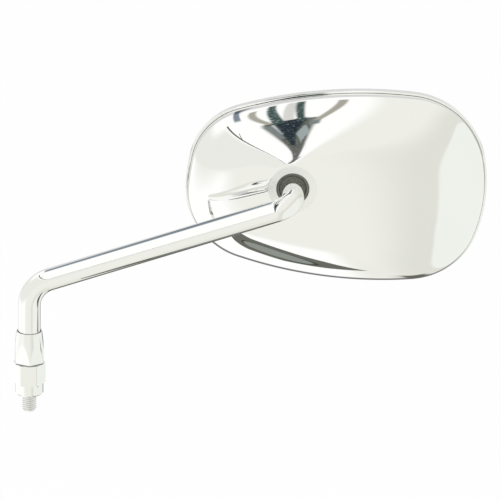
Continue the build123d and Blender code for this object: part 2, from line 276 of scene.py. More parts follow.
def shell_face(phi, inset, boss_radius, boss_depth, boss_round):
    """One face of the shell at a normal angle, from the hole to the skirt's end."""
    outward = direction(phi)
    rim = rim_point(phi, inset)
    boss = outward * boss_radius

    def spread_point(spread, depth):
        flat = boss.lerp(rim, spread)
        return Vector((flat.x, flat.y, boss_depth + depth))

    def boss_point(radius):
        return Vector((outward.x * radius, outward.y * radius, boss_depth))

    round_end = spread_point(*curve_point(DISH_SECTION, BOSS_ROUND_SHARE))
    flat_width = boss_radius - boss_round - HOLE_RADIUS
    points = [boss_point(HOLE_RADIUS + flat_width * (step + 1) / BOSS_STEPS) for step in range(BOSS_STEPS)]
    edge = [points[-1], boss_point(boss_radius), round_end]
    points += [curve_point(edge, (step + 1) / BOSS_ROUND_STEPS) for step in range(BOSS_ROUND_STEPS)]
    for step in range(1, DISH_STEPS + 1):
        share = BOSS_ROUND_SHARE + (1 - BOSS_ROUND_SHARE) * step / DISH_STEPS
        points.append(spread_point(*curve_point(DISH_SECTION, share)))
    points.append(Vector((rim.x, rim.y, SKIRT_DEPTH)))
    return points


def make_shell():
    sections = []
    for phi in PHIS:
        outer = shell_face(phi, SKIRT_INSET, BOSS_RADIUS, 0, BOSS_ROUND)
        inner = shell_face(phi, SKIRT_INNER_INSET, BOSS_RADIUS - SHELL_WALL / 2, SHELL_WALL, BOSS_ROUND)
        out = direction(phi)
        edge = [
            Vector((out.x * HOLE_RADIUS, out.y * HOLE_RADIUS, SHELL_WALL)),
            Vector((out.x * HOLE_RADIUS, out.y * HOLE_RADIUS, HOLE_EDGE)),
            Vector((out.x * (HOLE_RADIUS + HOLE_EDGE), out.y * (HOLE_RADIUS + HOLE_EDGE), 0)),
        ]
        sections.append(edge + outer + inner[::-1])
    rings = [[head_point(point.xy, point.z) for point in ring] for ring in zip(*sections)]
    return piece_from_rings("pressed_shell", rings, joined=True)


def ring_round_rim(name, profile):
    """Ring that follows the outline, from a closed profile of insets and depths."""
    rings = [[head_point(rim_point(phi, inset), depth) for phi in PHIS] for inset, depth in profile]
    return piece_from_rings(name, rings, joined=True)


def make_bezel():
    front = HEAD_DEPTH
    pocket = HEAD_DEPTH - LIP_THICKNESS
    back = BEZEL_BACK_DEPTH
    profile = quarter(Vector((BEZEL_BACK_ROUND, back + BEZEL_BACK_ROUND)), BEZEL_BACK_ROUND, 270, 180, 6)
    profile += quarter(Vector((BEZEL_ROUND, front - BEZEL_ROUND)), BEZEL_ROUND, 180, 90, 10)
    profile += quarter(Vector((LIP_WIDTH - LIP_EDGE, front - LIP_EDGE)), LIP_EDGE, 90, 0, 4)
    profile += [Vector((LIP_WIDTH, pocket)), Vector((BEZEL_WALL, pocket))]
    profile += quarter(Vector((BEZEL_WALL - LIP_EDGE, back + LIP_EDGE)), LIP_EDGE, 0, -90, 3)
    return ring_round_rim("rim_bezel", [(max(point.x, BEZEL_TRIM), point.y) for point in profile])


def make_glass():
    edge = [rim_point(phi, GLASS_INSET) for phi in PHIS]
    low = Vector((min(p.x for p in edge), min(p.y for p in edge)))
    high = Vector((max(p.x for p in edge), max(p.y for p in edge)))
    middle = (low + high) / 2
    front_depth = HEAD_DEPTH - GLASS_CROWN_GAP

    def sag(flat, radius):
        return radius - math.sqrt(radius ** 2 - (flat - middle).length_squared)

    def front_ring(share, inset=0.0):
        flats = [middle.lerp(rim_point(phi, GLASS_INSET + inset), share) for phi in PHIS]
        return [head_point(flat, front_depth - sag(flat, GLASS_RADIUS)) for flat in flats]

    def back_ring(share, inset=0.0):
        radius = GLASS_RADIUS - GLASS_THICKNESS
        flats = [middle.lerp(rim_point(phi, GLASS_INSET + inset), share) for phi in PHIS]
        return [head_point(flat, front_depth - GLASS_THICKNESS - sag(flat, radius)) for flat in flats]

    rings = [front_ring(share) for share in GLASS_RINGS]
    rings.append(front_ring(1, GLASS_EDGE))
    rings.append([point - Vector((0, GLASS_EDGE, 0)) for point in front_ring(1)])
    rings.append([point + Vector((0, GLASS_EDGE, 0)) for point in back_ring(1)])
    rings.append(back_ring(1, GLASS_EDGE))
    rings += [back_ring(share) for share in reversed(GLASS_RINGS)]
    return piece_from_rings("convex_glass", rings)


# Turned and threaded pieces
def thread_ridge(height, angle):
    """Height of the thread's ridge between its root and its crest, 0 to 1."""
    turn = (height / THREAD_PITCH - angle / math.tau) % 1
    return min(1, max(0, (FLANK_END - abs(2 * turn - 1)) / FLANK_LENGTH))


def threaded_rings(angles, low, high, radius, place):
    """Rings of a thread with a chamfered lower end and a run-out at its upper end."""
    rows = round((high - low) / THREAD_PITCH * THREAD_ROWS)
    rings = []
    for row in range(rows + 1):
        height = low + (high - low) * row / rows
        cone = radius - THREAD_CHAMFER + (height - low)
        depth = THREAD_DEPTH * min(1, (high - height) / THREAD_RUNOUT)
        ring = []
        for angle in angles:
            ridge = radius - depth * (1 - thread_ridge(height, angle))
            ring.append(place(min(ridge, cone), angle, height))
        rings.append(ring)
    return rings


def upright(radius, angle, height):
    """Point about the stud's axis."""
    return Vector((radius * math.cos(angle), radius * math.sin(angle), height))


def hex_angles(turn):
    """Angles round a hexagon, close together at its rounded corners."""
    near_corner = [-angle for angle in reversed(HEX_ROUND_ANGLES)] + [0.0] + HEX_ROUND_ANGLES
    flat_start = HEX_ROUND_ANGLES[-1]
    flat_turn = 60 - 2 * flat_start
    on_flat = [flat_start + flat_turn * step / HEX_FLAT_STEPS for step in range(1, HEX_FLAT_STEPS)]
    angles = []
    for corner in range(6):
        angles += [turn + math.radians(60 * corner + offset) for offset in near_corner + on_flat]
    return angles


def hex_radius(angle, turn):
    """Radius of a hexagon with rounded corners."""
    from_corner = abs((angle - turn + math.pi / 6) % (math.pi / 3) - math.pi / 6)
    round_centre = (HEX_FLAT - HEX_CORNER_ROUND) / math.cos(math.pi / 6)
    touch = math.atan2(HEX_CORNER_ROUND / 2, round_centre + HEX_CORNER_ROUND * math.cos(math.pi / 6))
    if from_corner > touch:
        return HEX_FLAT / math.cos(math.pi / 6 - from_corner)
    across = round_centre * math.sin(from_corner)
    return round_centre * math.cos(from_corner) + math.sqrt(HEX_CORNER_ROUND ** 2 - across ** 2)


def make_stud_adapter():
    angles = hex_angles(0)

    def level(radius, height):
        return [upright(radius, angle, height) for angle in angles]

    def hex_level(cut_radius, height, slope):
        face = [upright(min(hex_radius(a, 0), cut_radius), a, height) for a in angles]
        cuts = [max(0, hex_radius(a, 0) - cut_radius) for a in angles]
        wall = [upright(hex_radius(a, 0), a, height + slope * cut) for a, cut in zip(angles, cuts)]
        return face, wall

    rings = threaded_rings(angles, STUD_TIP, 0, STUD_RADIUS, upright)
    rings += [level(COLLAR_RADIUS - COLLAR_CHAMFER, 0), level(COLLAR_RADIUS, COLLAR_CHAMFER)]
    rings += [level(COLLAR_RADIUS, COLLAR_HEIGHT)]
    low_face, low_wall = hex_level(HEX_CORNER - HEX_CHAMFER, COLLAR_HEIGHT, 1)
    high_face, high_wall = hex_level(HEX_CORNER - HEX_CHAMFER, NUT_BOTTOM, -1)
    rings += [low_face, low_wall, high_wall, high_face]
    rings += [level(THREAD_BORE + EDGE, NUT_BOTTOM), level(THREAD_BORE, NUT_BOTTOM - EDGE)]
    rings += [level(THREAD_BORE, ADAPTER_BORE_END)]
    return piece_from_rings("hex_adapter", rings)


def make_lock_nut():
    angles = hex_angles(NUT_TURN)
    radii = [hex_radius(angle, NUT_TURN) for angle in angles]
    cone_start = NUT_TOP - NUT_CONE_HEIGHT
    cone_run = HEX_CORNER - NUT_TOP_RADIUS

    def level(radius, height):
        return [upright(radius, angle, height) for angle in angles]

    foot_radius = HEX_CORNER - HEX_CHAMFER
    foot = [upright(min(r, foot_radius), a, NUT_BOTTOM) for a, r in zip(angles, radii)]
    low_wall = [upright(r, a, NUT_BOTTOM + max(0, r - foot_radius)) for a, r in zip(angles, radii)]
    high_wall = []
    for angle, radius in zip(angles, radii):
        share = (HEX_CORNER - radius) / cone_run
        high_wall.append(upright(radius, angle, cone_start + NUT_CONE_HEIGHT * share))
    # Rings close to the edge between flats and cone keep both sides of it true
    brim = level(NUT_TOP_RADIUS, NUT_TOP)
    flat_end = [low.lerp(high, 1 - NUT_EDGE_SHARE) for low, high in zip(low_wall, high_wall)]
    cone_end = [high.lerp(top, NUT_EDGE_SHARE) for high, top in zip(high_wall, brim)]
    rings = [level(THREAD_BORE, NUT_BOTTOM + EDGE), level(THREAD_BORE + EDGE, NUT_BOTTOM), foot]
    rings += [low_wall, flat_end, high_wall, cone_end, brim, level(COUNTERBORE_RADIUS + EDGE / 2, NUT_TOP)]
    rings += [level(COUNTERBORE_RADIUS, NUT_TOP - EDGE / 2), level(COUNTERBORE_RADIUS, COUNTERBORE_FLOOR)]
    rings += [level(THREAD_BORE, COUNTERBORE_FLOOR)]
    return piece_from_rings("coned_lock_nut", rings, joined=True)


def bent_route(corner_points, radii, steps):
    """Places and directions along straight runs joined by arcs."""
    stations = []
    first = corner_points[0]
    last = corner_points[-1]
    stations.append((first, (corner_points[1] - first).normalized()))
    for before, corner, after, radius in zip(corner_points, corner_points[1:], corner_points[2:], radii):
        arrive = (corner - before).normalized()
        leave = (after - corner).normalized()
        turn = arrive.angle(leave)
        axis = arrive.cross(leave).normalized()
        start = corner - arrive * radius * math.tan(turn / 2)
        centre = start + axis.cross(arrive) * radius
        for step in range(steps + 1):
            swing = Matrix.Rotation(turn * step / steps, 3, axis)
            stations.append((centre + swing @ (start - centre), swing @ arrive))
    stations.append((last, (last - corner_points[-2]).normalized()))
    return stations


def stem_stations():
    """Places and directions along the stem, from its shoulder to the ball."""
    elbow_height = BALL_CENTRE.z
    route = [
        Vector((0, 0, STEM_SHOULDER + EDGE)),
        Vector((0, 0, POST_HEIGHT)),
        Vector((BALL_CENTRE.x, 0, elbow_height)),
        Vector((BALL_CENTRE.x, BALL_CENTRE.y - BALL_FRONT_FLAT, elbow_height)),
    ]
    return bent_route(route, [POST_BEND_RADIUS, ELBOW_RADIUS], BEND_STEPS)


def make_stem():
    angles = [math.tau * step / STEM_SIDES for step in range(STEM_SIDES)]
    rings = threaded_rings(angles, STEM_THREAD_END, STEM_SHOULDER, STEM_THREAD_RADIUS, upright)
    rings.append([upright(STEM_RADIUS - EDGE, angle, STEM_SHOULDER) for angle in angles])
    across = Vector((1, 0, 0))
    heading = Vector((0, 0, 1))
    stations = stem_stations()
    for place, ahead in stations[:-1]:
        across.rotate(heading.rotation_difference(ahead))
        heading = ahead
        aside = heading.cross(across)
        rings.append([place + (across * math.cos(a) + aside * math.sin(a)) * STEM_RADIUS for a in angles])
    place = stations[-1][0]

    def spigot_ring(radius, y):
        middle = Vector((place.x, y, place.z))
        return [middle + (across * math.cos(a) + aside * math.sin(a)) * radius for a in angles]

    for step in range(FLARE_STEPS + 1):
        share = step / FLARE_STEPS
        rings.append(spigot_ring(STEM_RADIUS + FLARE_RISE * share ** 2, place.y - FLARE_LENGTH * (1 - share)))
    rings += [spigot_ring(SPIGOT_RADIUS, place.y), spigot_ring(SPIGOT_RADIUS, SPIGOT_END - EDGE)]
    rings.append(spigot_ring(SPIGOT_RADIUS - EDGE, SPIGOT_END))
    return piece_from_rings("bent_stem", rings)


def turned_on_head_axis(name, profile):
    """Ring turned about the boss axis from a closed profile of radii and heights towards the stem."""
    rings = []
    for radius, height in profile:
        depth = BALL_CENTRE.y - BOSS_Y - height
        rings.append([head_point(direction(phi) * radius, depth) for phi in PHIS[::BALL_ANGLE_STRIDE]])
    return piece_from_rings(name, rings, joined=True)


def make_swivel_ball():
    low = math.degrees(math.asin(-BALL_BACK_FLAT / BALL_RADIUS))
    high = math.degrees(math.asin(BALL_FRONT_FLAT / BALL_RADIUS))
    sphere = quarter(Vector((0, 0)), BALL_RADIUS, low, high, BALL_STEPS)
    bore = SPIGOT_RADIUS + SPIGOT_CLEARANCE
    profile = [(point.x, point.y) for point in sphere]
    profile += [(bore, BALL_FRONT_FLAT), (bore, -BALL_BACK_FLAT)]
    return turned_on_head_axis("black_ball", profile)


# Shader maths
class Value:
    """Output of a shader node that takes part in sums with numbers and other outputs."""

    def __init__(self, shader, socket):
        self.shader = shader
        self.socket = socket

    def out(self, name):
        return Value(self.shader, self.socket.node.outputs[name])

    def maths(self, operation, *terms):
        return self.shader.node("ShaderNodeMath", {"operation": operation}, dict(enumerate(terms)))

    def __add__(self, other):
        return self.maths("ADD", self, other)

    __radd__ = __add__

    def __sub__(self, other):
        return self.maths("SUBTRACT", self, other)

    def __rsub__(self, other):
        return self.maths("SUBTRACT", other, self)

    def __mul__(self, other):
        return self.maths("MULTIPLY", self, other)

    __rmul__ = __mul__

    def __truediv__(self, other):
        return self.maths("DIVIDE", self, other)

    def __neg__(self):
        return self.maths("MULTIPLY", self, -1.0)

    def __abs__(self):
        return self.maths("ABSOLUTE", self)


class Shader:
    """Node tree of a material or of the world."""

    def __init__(self, owner):
        owner.use_nodes = True
        self.tree = owner.node_tree
        self.tree.nodes.clear()

    def node(self, kind, settings=None, sockets=None, output=0):
        """Adds a node: its settings first, then the values or links of its sockets."""
        made = self.tree.nodes.new(kind)
        for key, value in (settings or {}).items():
            setattr(made, key, value)
        for key, value in (sockets or {}).items():
            if isinstance(value, Value):
                self.tree.links.new(value.socket, made.inputs[key])
            else:
                made.inputs[key].default_value = value
        return Value(self, made.outputs[output]) if made.outputs else None

    def rise(self, value, low, high):
        """0 below low, 1 above high, smooth between."""
        limits = {"Value": value, "From Min": low, "From Max": high}
        return self.node("ShaderNodeMapRange", {"interpolation_type": "SMOOTHSTEP"}, limits)

    def window(self, value, low, high, soft):
        """1 between low and high, fading to 0 over the soft edge."""
        return self.rise(value, low - soft, low + soft) * (1 - self.rise(value, high - soft, high + soft))

    def blend(self, first, second, share):
        colours = {"Factor": share, 6: first, 7: second}
        return self.node("ShaderNodeMix", {"data_type": "RGBA"}, colours, output=2)

    def noise(self, where, scale, detail=3.0):
        return self.node("ShaderNodeTexNoise", None, {"Vector": where, "Scale": scale, "Detail": detail})

    def stretched(self, where, scale):
        return self.node("ShaderNodeMapping", None, {"Vector": where, "Scale": scale})

    def bump(self, height, distance):
        return self.node("ShaderNodeBump", None, {"Height": height, "Distance": distance, "Strength": 1.0})

    def surface(self, **sockets):
        """Principled surface on the material's output."""
        named = {name.replace("_", " "): value for name, value in sockets.items()}
        body = self.node("ShaderNodeBsdfPrincipled", None, named)
        self.node("ShaderNodeOutputMaterial", None, {"Surface": body})


def new_finish(name):
    material = bpy.data.materials.new(name)
    shader = Shader(material)
    where = shader.node("ShaderNodeTexCoord", output="Object")
    return material, shader, where


def grey(level):
    return (level, level, level, 1.0)


# Painted shade on nut and adapter, where shade falls in recesses and at the joint: its colour, its share in the
# thread's roots, the painted shadow line at the joint of the two and the height above which the nut's lip has some
PAINTED_SHADE_COLOUR = (0.05, 0.05, 0.042, 1)
PAINTED_SHADE_ROUGHNESS = 0.4
ROOT_PAINTED_SHADE = 0.3
JOINT_SHADE_START = (0.02, 0.1)
JOINT_SHADE_END = (0.6, 1.1)
LIP_SHADE_WIDTH = 0.3
LIP_SHADE_HEIGHT = (20.0, 21.0)
SATIN_ROUGHNESS = 0.3
SATIN_END = 9.0


def fitting_painted_shade(shader, where):
    """Share of painted shade in the thread's roots, in the joint of nut and adapter and at the nut's lip, where
    shade falls.
    """
    x = shader.node("ShaderNodeSeparateXYZ", None, {0: where})
    y = x.out("Y")
    height = x.out("Z") / MM
    radius = x.maths("SQRT", x * x + y * y) / MM
    in_root = 1 - shader.rise(radius, STUD_RADIUS - THREAD_DEPTH, STUD_RADIUS - 0.1)
    on_stud = 1 - shader.rise(height, -0.2, 0.1)
    roots = in_root * on_stud * ROOT_PAINTED_SHADE
    # Painted shadow line just above the joint of nut and adapter
    above_joint = height - NUT_BOTTOM
    joint = shader.rise(above_joint, *JOINT_SHADE_START) * (1 - shader.rise(above_joint, *JOINT_SHADE_END))
    in_bore = 1 - shader.rise(radius, COUNTERBORE_RADIUS, COUNTERBORE_RADIUS + LIP_SHADE_WIDTH)
    lip = in_bore * shader.rise(height, *LIP_SHADE_HEIGHT)
    share = joint.maths("MAXIMUM", joint, joint.maths("MAXIMUM", roots, lip))
    return share * (0.55 + 0.45 * shader.noise(where, 700.0))


def stem_satin(shader, where):
    """Share of the satin finish on the stem's end at the ball."""
    y = shader.node("ShaderNodeSeparateXYZ", None, {0: where}, output="Y") / MM
    return shader.rise(y, BOSS_Y - SATIN_END, BOSS_Y - 1.0)


def boss_satin(shader, where):
    """Share of the satin finish on the boss face."""
    x = shader.node("ShaderNodeSeparateXYZ", None, {0: where})
    across = x / MM - BALL_CENTRE.x
    up = x.out("Z") / MM - BALL_CENTRE.z
    radius = x.maths("SQRT", across * across + up * up)
    return 1 - shader.rise(radius, BOSS_RADIUS - BOSS_ROUND, BOSS_RADIUS)


def chrome(name, bright, dull, press_wave, painted_shade=None, satin=None):
    """Chrome plate: a faint cloud in the colour, polishing haze and the slow wave of the metal under it."""
    material, shader, where = new_finish(name)
    cloud = shader.noise(where, 22.0)
    haze = shader.noise(where, 160.0, 4.0)
    hairline = shader.noise(shader.stretched(where, (900.0, 40.0, 140.0)), 1.0, 2.0)
    wave = shader.noise(where, 34.0, 1.0)
    colour = shader.blend(bright, dull, cloud)
    roughness = 0.02 + haze * 0.03 + shader.rise(hairline, 0.68, 0.8) * 0.05
    # Painted shade: darkens the colour and roughens the chrome where its share says
    if painted_shade:
        shade_share = painted_shade(shader, where)
        colour = shader.blend(colour, PAINTED_SHADE_COLOUR, shade_share)
        roughness = roughness + shade_share * PAINTED_SHADE_ROUGHNESS
    if satin:
        roughness = roughness + satin(shader, where) * SATIN_ROUGHNESS
    shader.surface(Base_Color=colour, Metallic=1.0, Roughness=roughness, Normal=shader.bump(wave, press_wave))
    return material


def black_phosphate():
    """Oiled black phosphate on a turned ball."""
    material, shader, where = new_finish("black_phosphate")
    grain = shader.noise(where, 2600.0, 4.0)
    oil = shader.noise(where, 120.0)
    shader.surface(
        Base_Color=shader.blend((0.13, 0.135, 0.11, 1), (0.22, 0.225, 0.19, 1), oil),
        Metallic=0.4,
        Roughness=0.28 + grain * 0.25,
        Normal=shader.bump(grain, 0.00002),
    )
    return material


def black_nylon():
    material, shader, where = new_finish("black_nylon")
    grain = shader.noise(where, 3400.0, 3.0)
    cloud = shader.noise(where, 90.0)
    shader.surface(
        Base_Color=shader.blend((0.14, 0.145, 0.12, 1), (0.21, 0.215, 0.18, 1), cloud),
        Roughness=0.42 + grain * 0.2,
        Normal=shader.bump(grain, 0.00003),
    )
    return material


def zinc_plate():
    """Bright zinc with a pale blue and straw cast and fine brushing."""
    material, shader, where = new_finish("zinc_plate")
    cast = shader.noise(where, 70.0)
    brushing = shader.noise(shader.stretched(where, (2400.0, 2400.0, 120.0)), 1.0, 2.0)
    shader.surface(
        Base_Color=shader.blend((0.62, 0.635, 0.66, 1), (0.67, 0.64, 0.56, 1), shader.rise(cast, 0.42, 0.62)),
        Metallic=1.0,
        Roughness=0.24 + brushing * 0.18,
        Normal=shader.bump(brushing, 0.00001),
    )
    return material


def blued_spring_steel():
    material, shader, where = new_finish("blued_spring_steel")
    temper = shader.noise(where, 110.0)
    marks = shader.noise(where, 1800.0, 3.0)
    shader.surface(
        Base_Color=shader.blend((0.16, 0.18, 0.25, 1), (0.36, 0.33, 0.28, 1), shader.rise(temper, 0.4, 0.65)),
        Metallic=1.0,
        Roughness=0.3 + marks * 0.2,
        Normal=shader.bump(marks, 0.00001),
    )
    return material


def moulded_rubber():
    material, shader, where = new_finish("moulded_rubber")
    grain = shader.noise(where, 1500.0, 4.0)
    bloom = shader.noise(where, 60.0)
    shader.surface(
        Base_Color=shader.blend((0.018, 0.018, 0.018, 1), (0.055, 0.055, 0.053, 1), bloom),
        Roughness=0.62 + grain * 0.25,
        Normal=shader.bump(grain, 0.00005),
    )
    return material


def silvered_glass():
    """Silvered glass: clear coat over a cool silver with a trace of dust."""
    material, shader, where = new_finish("silvered_glass")
    dust = shader.noise(where, 900.0, 4.0)
    film = shader.noise(where, 16.0)
    shader.surface(
        Base_Color=shader.blend((0.84, 0.87, 0.87, 1), (0.79, 0.83, 0.84, 1), film),
        Metallic=1.0,
        Roughness=0.008 + shader.rise(dust, 0.66, 0.8) * 0.05,
        Coat_Weight=0.6,
        Coat_Roughness=0.01,
    )
    return material


def closed_cell_foam():
    material, shader, where = new_finish("closed_cell_foam")
    cells = shader.node("ShaderNodeTexVoronoi", None, {"Vector": where, "Scale": 1300.0})
    shader.surface(
        Base_Color=shader.blend((0.06, 0.06, 0.065, 1), (0.17, 0.17, 0.175, 1), cells),
        Roughness=0.85 + cells * 0.1,
        Normal=shader.bump(cells, 0.0003),
    )
    return material


FINISHES = {
    "fitting_chrome": chrome(
        "fitting_chrome", (0.93, 0.935, 0.92, 1), (0.89, 0.895, 0.88, 1), 0.000002, fitting_painted_shade
    ),
    "stem_chrome": chrome(
        "stem_chrome", (0.94, 0.945, 0.93, 1), (0.9, 0.905, 0.89, 1), 0.000003, satin=stem_satin
    ),
    "shell_chrome": chrome(
        "shell_chrome", (0.94, 0.945, 0.93, 1), (0.91, 0.915, 0.9, 1), 0.000008, satin=boss_satin
    ),
    "ball_black": black_phosphate(),
    "liner_nylon": black_nylon(),
    "zinc_steel": zinc_plate(),
    "spring_steel": blued_spring_steel(),
    "gasket_rubber": moulded_rubber(),
    "mirror_glass": silvered_glass(),
    "pad_foam": closed_cell_foam(),
}


def stand_in(piece, node):
    """Shows a dense piece in place of a node, on the node's body and with its finish."""
    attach(piece, BODIES[node])
    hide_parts(node)
    piece.data.materials.append(FINISHES[SLOTS[node]])


DENSE_PIECES = {
    "shell": make_shell(),
    "bezel": make_bezel(),
    "glass": make_glass(),
    "stud_adapter": make_stud_adapter(),
    "lock_nut": make_lock_nut(),
    "stem": make_stem(),
    "swivel_ball": make_swivel_ball(),
}
for node, piece in DENSE_PIECES.items():
    stand_in(piece, node)
for node, cad_object in frame["nodes"].items():
    if node not in DENSE_PIECES:
        cad_object.data.materials.clear()
        cad_object.data.materials.append(FINISHES[SLOTS[node]])


# Studio: white to the camera, panels and gaps of a light tent in the reflections, soft light elsewhere
CAMERA_ELEVATION = math.radians(20)
CAMERA_ROLL = math.radians(1.1925)
CAMERA_DISTANCE = 2200.0
CAMERA_TARGET = Vector((124.0, 30.0, 78.04))
CAMERA_FOCAL_PIXELS = 3859.65
CAMERA_SIGHT = 50000.0
IMAGE_PIXELS = 500.0
SENSOR_WIDTH = 36.0
FLOOR_REACH = 6000.0
FLOOR_WHITE_SHARE = 0.96
SOFT_LIGHT = 0.8
LAMP_PLACE = Vector((-700.0, -1000.0, 1400.0))
LAMP_SIZE = 1200.0
LAMP_WATTS = 9.0


def make_camera():
    ahead = Vector((0, math.cos(CAMERA_ELEVATION), -math.sin(CAMERA_ELEVATION)))
    level_up = Vector((0, math.sin(CAMERA_ELEVATION), math.cos(CAMERA_ELEVATION)))
    level_right = Vector((1, 0, 0))
    right = level_right * math.cos(CAMERA_ROLL) + level_up * math.sin(CAMERA_ROLL)
    up = level_up * math.cos(CAMERA_ROLL) - level_right * math.sin(CAMERA_ROLL)
    lens = bpy.data.cameras.new("camera")
    lens.sensor_width = SENSOR_WIDTH
    lens.lens = CAMERA_FOCAL_PIXELS / IMAGE_PIXELS * SENSOR_WIDTH
    lens.clip_end = CAMERA_SIGHT * MM
    camera = bpy.data.objects.new("camera", lens)
    place = Matrix((right, up, -ahead)).transposed().to_4x4()
    place.translation = (CAMERA_TARGET - ahead * CAMERA_DISTANCE) * MM
    camera.matrix_world = place
    bpy.context.scene.collection.objects.link(camera)
    bpy.context.scene.camera = camera


def ray_kinds(shader):
    """Three values that are 1 for a ray from the camera, for one off metal and for one through glass."""
    path = shader.node("ShaderNodeLightPath", output="Is Camera Ray")
    return path, path.out("Is Glossy Ray"), path.out("Is Transmission Ray")


def make_floor():
    mesh = bpy.data.meshes.new("floor")
    reach = FLOOR_REACH * MM
    height = CAD_BOX[0].z
    mesh.from_pydata(
        [(-reach, -reach, height), (reach, -reach, height), (reach, reach, height), (-reach, reach, height)],
        [],
        [(0, 1, 2, 3)],
    )
    floor = bpy.data.objects.new("floor", mesh)
    bpy.context.scene.collection.objects.link(floor)
    material = bpy.data.materials.new("white_floor")
    shader = Shader(material)
    camera, glossy, through = ray_kinds(shader)
    seen = camera.maths("MAXIMUM", camera, glossy.maths("MAXIMUM", glossy, through))
    pale = shader.node("ShaderNodeBsdfDiffuse", None, {"Color": grey(0.9)})
    white = shader.node("ShaderNodeEmission", None, {"Color": grey(1.0), "Strength": 1.0})
    mixed = shader.node("ShaderNodeMixShader", None, {0: seen * FLOOR_WHITE_SHARE, 1: pale, 2: white})
    shader.node("ShaderNodeOutputMaterial", None, {"Surface": mixed})
    mesh.materials.append(material)
    floor.visible_glossy = False


# Light tent by angles in degrees. Around turns about the Y axis, from straight up to the right, below does so
# from straight down to the left, and along goes from the camera's end of the tent (0) to its far end (180).
PALE_CLOTH = (0.925, 0.922, 0.875, 1)
LEFT_CLOTH = (0.88, 0.885, 0.84, 1)
WHITE_CLOTH = (1.1, 1.1, 1.09, 1)
FOLD_CLOTH = (0.8, 0.798, 0.745, 1)
COOL_CLOTH = (0.93, 0.945, 0.905, 1)
GAP_OLIVE = (0.12, 0.127, 0.112, 1)
GAP_BLUE_BLACK = (0.022, 0.034, 0.045, 1)
GAP_HAZE = (0.36, 0.42, 0.42, 1)
GAP_GREEN = (0.05, 0.09, 0.085, 1)
GAP_WING = (0.21, 0.24, 0.24, 1)
GAP_GLINT = (0.8, 0.85, 0.85, 1)
STRIP_LAMP = (0.74, 0.72, 0.7, 1)
SEAM_BROWN = (0.42, 0.4, 0.35, 1)
LINE_BLACK = (0.1, 0.1, 0.095, 1)
DARK_ROOM = grey(0.13)
BEAM_BLUE = (0.24, 0.28, 0.33, 1)
BEAM_DARK = (0.07, 0.09, 0.11, 1)
BOARD_DARK = (0.14, 0.14, 0.125, 1)
FLOOR_GAP = grey(0.2)
FAR_FLOOR = grey(0.42)
FAR_RING = grey(0.72)
WALL_LOW = grey(0.92)
WALL_HIGH = grey(0.75)

# Cool panel at the right: middle and radii, around and along
COOL_PANEL = ((107.0, 100.0), (48.0, 61.0))
# Edges of the cloth straight below, of the beam and of the board
UNDER_BELOW = (-1.0, 40.0)
BEAM_AROUND = (-33.0, -25.0)
BEAM_ALONG = (109.0, 152.0)
BOARD_BELOW = (-17.0, -6.0)
BOARD_ALONG = (108.0, 134.0)
# Haze in the gap: middle around and along, its slant and half sizes
HAZE_MIDDLE = (-9.4, 46.0)
HAZE_SLANT = 0.03
HAZE_HALF = (2.4, 21.0)
# Dark curl at the gap's near end
CURL_AROUND = (-34.0, -4.0)
CURL_ALONG = (7.2, 8.8)
# Panels: edges around and their softness, edges along and their softness, colour
CLOTH_PANELS = [
    ((-98.0, -46.0), 4.0, (2.0, 150.0), 2.0, LEFT_CLOTH),
    ((-46.0, 4.0), 3.0, (2.0, 150.0), 2.0, WHITE_CLOTH),
    ((-62.0, -40.0), 8.0, (100.0, 150.0), 14.0, WHITE_CLOTH),
    ((-150.0, -102.0), 6.0, (44.0, 150.0), 12.0, WHITE_CLOTH),
]
# Lines: place around at the far end, slant, bend, edges along, half width at the far end and its flare,
# colour, share of bright specks
GAP_LINES = [
    (-43.0, 0.0, 0.0, (4.0, 106.0), 1.0, 0.0, LINE_BLACK, 0.0),
    (-37.5, 0.28, 0.0, (57.0, 74.0), 0.45, 0.0, LINE_BLACK, 0.0),
    (-12.8, 0.0, 0.0, (8.0, 83.0), 6.5, 0.02, GAP_OLIVE, 0.5),
    (-17.6, -0.028, 0.0, (40.0, 77.0), 1.9, 0.03, GAP_WING, 0.2),
    (-16.8, -0.042, 0.0, (50.0, 78.0), 0.35, 0.0, GAP_GLINT, 0.0),
    (-6.8, 0.0, 0.0, (64.0, 79.0), 1.4, 0.0, GAP_WING, 0.2),
    (-12.6, 0.025, 0.0, (22.0, 85.0), 4.1, 0.05, GAP_BLUE_BLACK, 0.35),
    (-13.0, 0.0, 0.0, (85.0, 137.0), 1.2, 0.0, STRIP_LAMP, 0.0),
    (-17.5, -0.0385, 0.0, (78.0, 137.0), 0.8, -0.011, GAP_GREEN, 1.0),
    (-11.4, -0.022, 0.0, (78.0, 137.0), 0.9, 0.0, GAP_GREEN, 0.6),
    (-2.6, 0.0, -0.0012, (74.0, 130.0), 1.0, 0.0, SEAM_BROWN, 0.0),
    (-21.0, 0.0, 0.0016, (82.0, 130.0), 0.8, 0.0, SEAM_BROWN, 0.0),
]
# Size of the specks in degrees around and along
SPECK_SIZE = (0.45, 3.6)


def oval(first, second, centre, radii):
    """Distance from the middle of an oval, 1 at its edge."""
    across = (first - centre[0]) / radii[0]
    length = (second - centre[1]) / radii[1]
    return across.maths("SQRT", across * across + length * length)


